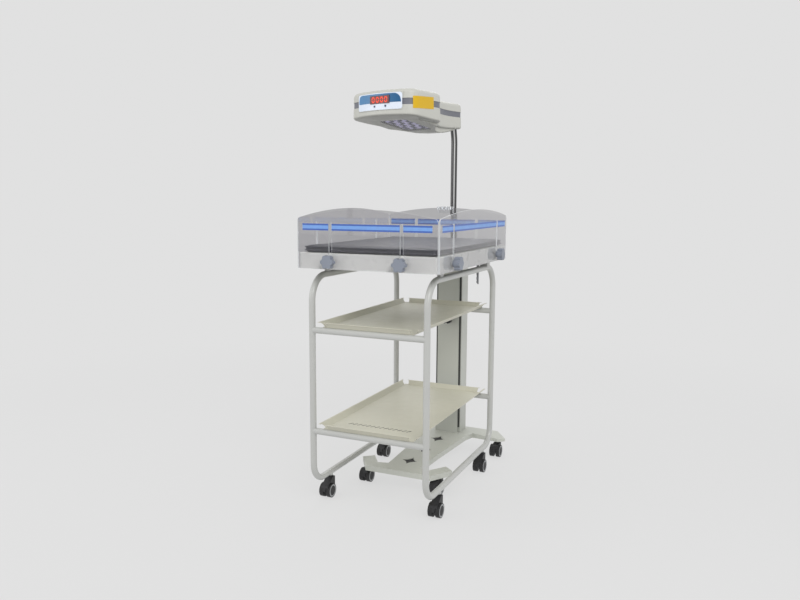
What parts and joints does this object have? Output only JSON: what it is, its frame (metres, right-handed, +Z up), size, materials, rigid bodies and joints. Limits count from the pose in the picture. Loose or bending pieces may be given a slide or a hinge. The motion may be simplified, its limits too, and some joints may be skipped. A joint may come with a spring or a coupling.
{
  "type": "infant phototherapy unit",
  "caption": "Bassinet with clear drop-down walls on a castored tubular trolley, and a roll-in lamp stand whose LED head swivels and slides above it.",
  "frame": {"origin": "on the floor, at the middle of the footprint of trolley and lamp stand together", "axes": "+Z up, +X to the right across the bassinet, +Y from the foot end towards the lamp column"},
  "size_m": [0.5654, 0.9208, 1.455],
  "materials": {
    "frame_paint": "gloss powder coat",
    "shelf_paint": "satin powder coat",
    "base_plastic": "smooth moulded",
    "steel": "zinc plated",
    "mattress_cover": "coated wipe-clean cover",
    "clear_acrylic": "clear polished",
    "knob_plastic": "fine texture",
    "castor_plastic": "moulded",
    "castor_wheel": "moulded",
    "stand_paint": "satin powder coat",
    "column_paint": "satin powder coat",
    "dark_strip": "matt",
    "chrome": "polished",
    "black_plastic": "fine texture",
    "head_plastic": "smooth moulded",
    "band_plastic": "satin",
    "lens": "clear",
    "board": "matt",
    "sink": "extruded",
    "panel_film": "printed film",
    "display_red": "tinted window",
    "button_dark": "membrane"
  },
  "bodies": {
    "trolley": {"frame_left": "frame_paint", "frame_right": "frame_paint", "crossbars": "frame_paint", "shelf_upper": "shelf_paint", "shelf_lower": "shelf_paint", "bed_brackets": "frame_paint"},
    "bassinet": {"bassinet_base": "base_plastic", "bed_rails": "steel", "mattress": "mattress_cover", "clamp_studs": "steel"},
    "stay": {"tilt_stay": "band_plastic"},
    "wall_front": {"wall_front": "clear_acrylic"},
    "wall_rear": {"wall_rear": "clear_acrylic", "tube_clip": "clear_acrylic"},
    "wall_left": {"wall_left": "clear_acrylic"},
    "wall_right": {"wall_right": "clear_acrylic"},
    "stand": {"stand_base": "stand_paint", "column": "column_paint", "column_seals": "dark_strip", "column_cap": "black_plastic", "mast_guide": "black_plastic", "mains_module": "black_plastic"},
    "mains_switch": {"mains_switch": "black_plastic"},
    "column_knob": {"column_knob": "black_plastic"},
    "mast": {"mast": "chrome"},
    "head": {"head_tube": "chrome", "head_lower_shell": "head_plastic", "head_upper_shell": "head_plastic", "head_band": "band_plastic", "head_lens": "lens", "led_board": "board", "heat_sink": "sink", "control_panel": "panel_film", "display": "display_red"},
    "button_left": {"button_left": "button_dark"},
    "button_right": {"button_right": "button_dark"},
    "knob_front_left": {"knob_front_left": "knob_plastic"},
    "knob_front_right": {"knob_front_right": "knob_plastic"},
    "knob_left_front": {"knob_left_front": "knob_plastic"},
    "knob_left_rear": {"knob_left_rear": "knob_plastic"},
    "knob_rear_left": {"knob_rear_left": "knob_plastic"},
    "knob_rear_right": {"knob_rear_right": "knob_plastic"},
    "knob_right_front": {"knob_right_front": "knob_plastic"},
    "knob_right_rear": {"knob_right_rear": "knob_plastic"},
    "castor_trolley_front_left": {"castor_trolley_front_left": "castor_plastic"},
    "wheels_trolley_front_left": {"wheels_trolley_front_left": "castor_wheel"},
    "castor_trolley_front_right": {"castor_trolley_front_right": "castor_plastic"},
    "wheels_trolley_front_right": {"wheels_trolley_front_right": "castor_wheel"},
    "castor_trolley_rear_left": {"castor_trolley_rear_left": "castor_plastic"},
    "wheels_trolley_rear_left": {"wheels_trolley_rear_left": "castor_wheel"},
    "castor_trolley_rear_right": {"castor_trolley_rear_right": "castor_plastic"},
    "wheels_trolley_rear_right": {"wheels_trolley_rear_right": "castor_wheel"},
    "castor_stand_front_left": {"castor_stand_front_left": "castor_plastic"},
    "wheels_stand_front_left": {"wheels_stand_front_left": "castor_wheel"},
    "castor_stand_front_right": {"castor_stand_front_right": "castor_plastic"},
    "wheels_stand_front_right": {"wheels_stand_front_right": "castor_wheel"},
    "castor_stand_rear_left": {"castor_stand_rear_left": "castor_plastic"},
    "wheels_stand_rear_left": {"wheels_stand_rear_left": "castor_wheel"},
    "castor_stand_rear_right": {"castor_stand_rear_right": "castor_plastic"},
    "wheels_stand_rear_right": {"wheels_stand_rear_right": "castor_wheel"}
  },
  "joints": [
    {"name": "bassinet_tilt", "type": "hinge", "parent": "trolley", "child": "bassinet", "pos_m": [0, -0.30465, 0.846], "axis": [1, 0, 0], "range_deg": [0, 8]},
    {"name": "stay_swing", "type": "hinge", "parent": "bassinet", "child": "stay", "pos_m": [0.1927, 0.13435, 0.85], "axis": [1, 0, 0], "range_deg": [-20, 20]},
    {"name": "wall_front_drop", "type": "slide", "parent": "bassinet", "child": "wall_front", "axis": [0, 0, 1], "range_m": [-0.118, 0]},
    {"name": "wall_rear_drop", "type": "slide", "parent": "bassinet", "child": "wall_rear", "axis": [0, 0, 1], "range_m": [-0.094, 0]},
    {"name": "wall_left_drop", "type": "slide", "parent": "bassinet", "child": "wall_left", "axis": [0, 0, 1], "range_m": [-0.118, 0]},
    {"name": "wall_right_drop", "type": "slide", "parent": "bassinet", "child": "wall_right", "axis": [0, 0, 1], "range_m": [-0.118, 0]},
    {"name": "knob_front_left_turn", "type": "hinge", "parent": "bassinet", "child": "knob_front_left", "pos_m": [-0.128, -0.44265, 0.862], "axis": [0, -1, 0], "range_deg": [0, 360]},
    {"name": "knob_front_right_turn", "type": "hinge", "parent": "bassinet", "child": "knob_front_right", "pos_m": [0.128, -0.44265, 0.862], "axis": [0, -1, 0], "range_deg": [0, 360]},
    {"name": "knob_left_front_turn", "type": "hinge", "parent": "bassinet", "child": "knob_left_front", "pos_m": [-0.265, -0.30465, 0.862], "axis": [-1, 0, 0], "range_deg": [0, 360]},
    {"name": "knob_left_rear_turn", "type": "hinge", "parent": "bassinet", "child": "knob_left_rear", "pos_m": [-0.265, 0.16535, 0.862], "axis": [-1, 0, 0], "range_deg": [0, 360]},
    {"name": "knob_rear_left_turn", "type": "hinge", "parent": "bassinet", "child": "knob_rear_left", "pos_m": [-0.128, 0.30335, 0.862], "axis": [0, 1, 0], "range_deg": [0, 360]},
    {"name": "knob_rear_right_turn", "type": "hinge", "parent": "bassinet", "child": "knob_rear_right", "pos_m": [0.128, 0.30335, 0.862], "axis": [0, 1, 0], "range_deg": [0, 360]},
    {"name": "knob_right_front_turn", "type": "hinge", "parent": "bassinet", "child": "knob_right_front", "pos_m": [0.265, -0.30465, 0.862], "axis": [1, 0, 0], "range_deg": [0, 360]},
    {"name": "knob_right_rear_turn", "type": "hinge", "parent": "bassinet", "child": "knob_right_rear", "pos_m": [0.265, 0.16535, 0.862], "axis": [1, 0, 0], "range_deg": [0, 360]},
    {"name": "stand_roll_out", "type": "slide", "parent": "trolley", "child": "stand", "axis": [0, 1, 0], "range_m": [0, 0.9]},
    {"name": "mast_height", "type": "slide", "parent": "stand", "child": "mast", "axis": [0, 0, 1], "range_m": [-0.15, 0.15]},
    {"name": "head_swivel", "type": "hinge", "parent": "mast", "child": "head", "pos_m": [-0.006, 0.39635, 1.275], "axis": [0, 0, 1], "range_deg": [-75, 105]},
    {"name": "column_knob_turn", "type": "hinge", "parent": "stand", "child": "column_knob", "pos_m": [-0.006, 0.35535, 0.576], "axis": [0, 1, 0], "range_deg": [0, 360]},
    {"name": "mains_switch_rock", "type": "hinge", "parent": "stand", "child": "mains_switch", "pos_m": [-0.006, 0.43585, 0.207], "axis": [1, 0, 0], "range_deg": [-12, 0]},
    {"name": "button_left_press", "type": "slide", "parent": "head", "child": "button_left", "axis": [0.2538, 0.9673, 0], "range_m": [0, 0.001], "stiffness_N_per_m": 400},
    {"name": "button_right_press", "type": "slide", "parent": "head", "child": "button_right", "axis": [0.1115, 0.9938, 0], "range_m": [0, 0.001], "stiffness_N_per_m": 400},
    {"name": "swivel_trolley_front_left", "type": "hinge", "parent": "trolley", "child": "castor_trolley_front_left", "pos_m": [-0.21, -0.29765, 0.058], "axis": [0, 0, 1], "continuous": true},
    {"name": "roll_trolley_front_left", "type": "hinge", "parent": "castor_trolley_front_left", "child": "wheels_trolley_front_left", "pos_m": [-0.21, -0.31865, 0.025], "axis": [1, 0, 0], "continuous": true},
    {"name": "swivel_trolley_front_right", "type": "hinge", "parent": "trolley", "child": "castor_trolley_front_right", "pos_m": [0.21, -0.29765, 0.058], "axis": [0, 0, 1], "continuous": true},
    {"name": "roll_trolley_front_right", "type": "hinge", "parent": "castor_trolley_front_right", "child": "wheels_trolley_front_right", "pos_m": [0.21, -0.31865, 0.025], "axis": [1, 0, 0], "continuous": true},
    {"name": "swivel_trolley_rear_left", "type": "hinge", "parent": "trolley", "child": "castor_trolley_rear_left", "pos_m": [-0.21, 0.17335, 0.058], "axis": [0, 0, 1], "continuous": true},
    {"name": "roll_trolley_rear_left", "type": "hinge", "parent": "castor_trolley_rear_left", "child": "wheels_trolley_rear_left", "pos_m": [-0.21, 0.15235, 0.025], "axis": [1, 0, 0], "continuous": true},
    {"name": "swivel_trolley_rear_right", "type": "hinge", "parent": "trolley", "child": "castor_trolley_rear_right", "pos_m": [0.21, 0.17335, 0.058], "axis": [0, 0, 1], "continuous": true},
    {"name": "roll_trolley_rear_right", "type": "hinge", "parent": "castor_trolley_rear_right", "child": "wheels_trolley_rear_right", "pos_m": [0.21, 0.15235, 0.025], "axis": [1, 0, 0], "continuous": true},
    {"name": "swivel_stand_front_left", "type": "hinge", "parent": "stand", "child": "castor_stand_front_left", "pos_m": [-0.149, -0.10365, 0.058], "axis": [0, 0, 1], "continuous": true},
    {"name": "roll_stand_front_left", "type": "hinge", "parent": "castor_stand_front_left", "child": "wheels_stand_front_left", "pos_m": [-0.149, -0.12465, 0.025], "axis": [1, 0, 0], "continuous": true},
    {"name": "swivel_stand_front_right", "type": "hinge", "parent": "stand", "child": "castor_stand_front_right", "pos_m": [0.137, -0.10365, 0.058], "axis": [0, 0, 1], "continuous": true},
    {"name": "roll_stand_front_right", "type": "hinge", "parent": "castor_stand_front_right", "child": "wheels_stand_front_right", "pos_m": [0.137, -0.12465, 0.025], "axis": [1, 0, 0], "continuous": true},
    {"name": "swivel_stand_rear_left", "type": "hinge", "parent": "stand", "child": "castor_stand_rear_left", "pos_m": [-0.228, 0.37035, 0.058], "axis": [0, 0, 1], "continuous": true},
    {"name": "roll_stand_rear_left", "type": "hinge", "parent": "castor_stand_rear_left", "child": "wheels_stand_rear_left", "pos_m": [-0.228, 0.34935, 0.025], "axis": [1, 0, 0], "continuous": true},
    {"name": "swivel_stand_rear_right", "type": "hinge", "parent": "stand", "child": "castor_stand_rear_right", "pos_m": [0.216, 0.37035, 0.058], "axis": [0, 0, 1], "continuous": true},
    {"name": "roll_stand_rear_right", "type": "hinge", "parent": "castor_stand_rear_right", "child": "wheels_stand_rear_right", "pos_m": [0.216, 0.34935, 0.025], "axis": [1, 0, 0], "continuous": true}
  ]
}
